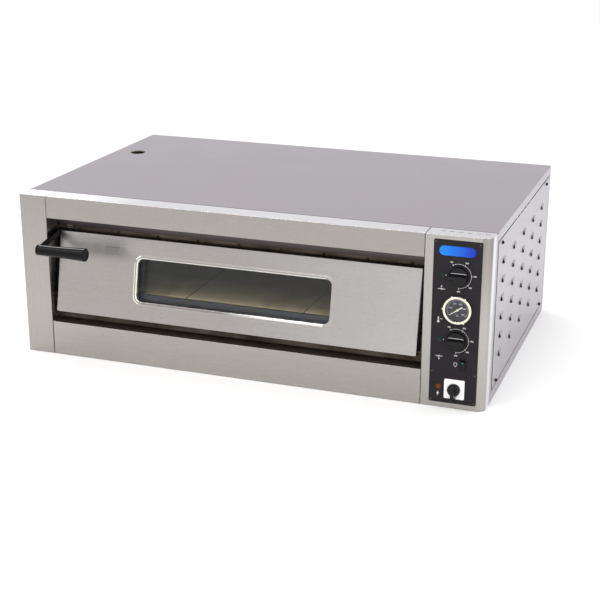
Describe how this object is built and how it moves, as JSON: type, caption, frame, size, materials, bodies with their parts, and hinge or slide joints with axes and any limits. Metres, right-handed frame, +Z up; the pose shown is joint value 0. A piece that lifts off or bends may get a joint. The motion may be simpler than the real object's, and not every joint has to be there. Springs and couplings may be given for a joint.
{
  "type": "deck oven",
  "caption": "Single-deck electric oven with a leaning bottom-hinged glazed door, a stone baking floor and a control column on the right.",
  "frame": {"origin": "centre of the rectangular casing's underside, where it stands on a stand, worktop or another deck", "axes": "+X to the right seen from the front, -Y towards the user in front of the door, +Z up"},
  "size_m": [1.1548, 0.8288, 0.4],
  "materials": {
    "stainless_front": "satin",
    "top_sheet": "satin",
    "side_sheet": "satin",
    "dark_sheet": "satin",
    "chamber_sheet": "satin",
    "galvanised_steel": "satin",
    "firebrick": "matte",
    "mineral_wool": "matte",
    "element_steel": "satin",
    "ceramic": "matte",
    "clear_glass": "polished",
    "window_steel": "satin",
    "handle_black": "satin",
    "panel_black": "satin",
    "badge_blue": "gloss",
    "black_plastic": "satin",
    "white_plastic": "satin",
    "chrome": "polished",
    "dial_grey": "matte",
    "needle_cream": "satin",
    "green_lens": "gloss",
    "orange_lens": "gloss"
  },
  "bodies": {
    "casing": {"base_pan": "stainless_front", "front_left_post": "stainless_front", "control_column": "stainless_front", "upper_fascia": "stainless_front", "lower_fascia": "stainless_front", "top_cover": "top_sheet", "rear_panel": "side_sheet", "left_side_panel": "side_sheet", "right_side_panel": "side_sheet", "hinge_channel": "dark_sheet", "mouth_frame": "dark_sheet", "hinge_bracket_left": "dark_sheet", "hinge_bracket_right": "dark_sheet", "steam_duct": "dark_sheet", "heat_break_strip": "chamber_sheet", "chamber_floor": "chamber_sheet", "chamber_ceiling": "chamber_sheet", "chamber_left_wall": "chamber_sheet", "chamber_right_wall": "chamber_sheet", "chamber_rear_wall": "chamber_sheet", "compartment_partition": "galvanised_steel", "stone_slab_1": "firebrick", "stone_slab_2": "firebrick", "stone_slab_3": "firebrick", "insulation_top": "mineral_wool", "insulation_tub": "mineral_wool", "upper_element_1": "element_steel", "lower_element_1": "element_steel", "upper_element_2": "element_steel", "lower_element_2": "element_steel", "lamp_housing": "ceramic", "terminal_block": "ceramic", "lamp_glass": "clear_glass", "thermometer_glass": "clear_glass", "control_panel": "panel_black", "badge_plate": "badge_blue", "main_switch_body": "black_plastic", "light_switch_frame": "black_plastic", "cable_gland": "black_plastic", "bottom_thermostat_body": "white_plastic", "top_thermostat_body": "white_plastic", "main_switch_plate": "white_plastic", "thermometer_case": "chrome", "thermometer_dial": "dial_grey", "bottom_pilot_lamp": "green_lens", "top_pilot_lamp": "green_lens", "mains_pilot_lamp": "orange_lens"},
    "door": {"door_outer_skin": "stainless_front", "door_inner_skin": "chamber_sheet", "door_insulation": "mineral_wool", "door_window_frame": "window_steel", "door_outer_glass": "clear_glass", "door_inner_glass": "clear_glass", "handle_arm": "handle_black", "handle_grip": "handle_black"},
    "top_thermostat_knob": {"top_thermostat_knob": "black_plastic"},
    "bottom_thermostat_knob": {"bottom_thermostat_knob": "black_plastic"},
    "main_switch_knob": {"main_switch_knob": "black_plastic"},
    "light_rocker": {"light_rocker": "black_plastic"},
    "thermometer_needle": {"thermometer_needle": "needle_cream"}
  },
  "joints": [
    {"name": "door_hinge", "type": "hinge", "parent": "casing", "child": "door", "pos_m": [0, -0.3475, 0.11609], "axis": [1, 0, 0], "range_deg": [0, 90]},
    {"name": "top_thermostat", "type": "hinge", "parent": "casing", "child": "top_thermostat_knob", "pos_m": [0.505, -0.3675, 0.311], "axis": [0, 1, 0], "range_deg": [0, 270]},
    {"name": "bottom_thermostat", "type": "hinge", "parent": "casing", "child": "bottom_thermostat_knob", "pos_m": [0.505, -0.3675, 0.1623], "axis": [0, 1, 0], "range_deg": [0, 270]},
    {"name": "main_switch", "type": "hinge", "parent": "casing", "child": "main_switch_knob", "pos_m": [0.505, -0.3675, 0.0477], "axis": [0, 1, 0], "range_deg": [0, 90]},
    {"name": "light_switch", "type": "hinge", "parent": "casing", "child": "light_rocker", "pos_m": [0.522, -0.366, 0.107], "axis": [-1, 0, 0], "range_deg": [0, 12]},
    {"name": "thermometer_pointer", "type": "hinge", "parent": "casing", "child": "thermometer_needle", "pos_m": [0.505, -0.3675, 0.2344], "axis": [0, 1, 0], "range_deg": [0, 250], "stiffness_Nm_per_rad": 0.0005}
  ]
}
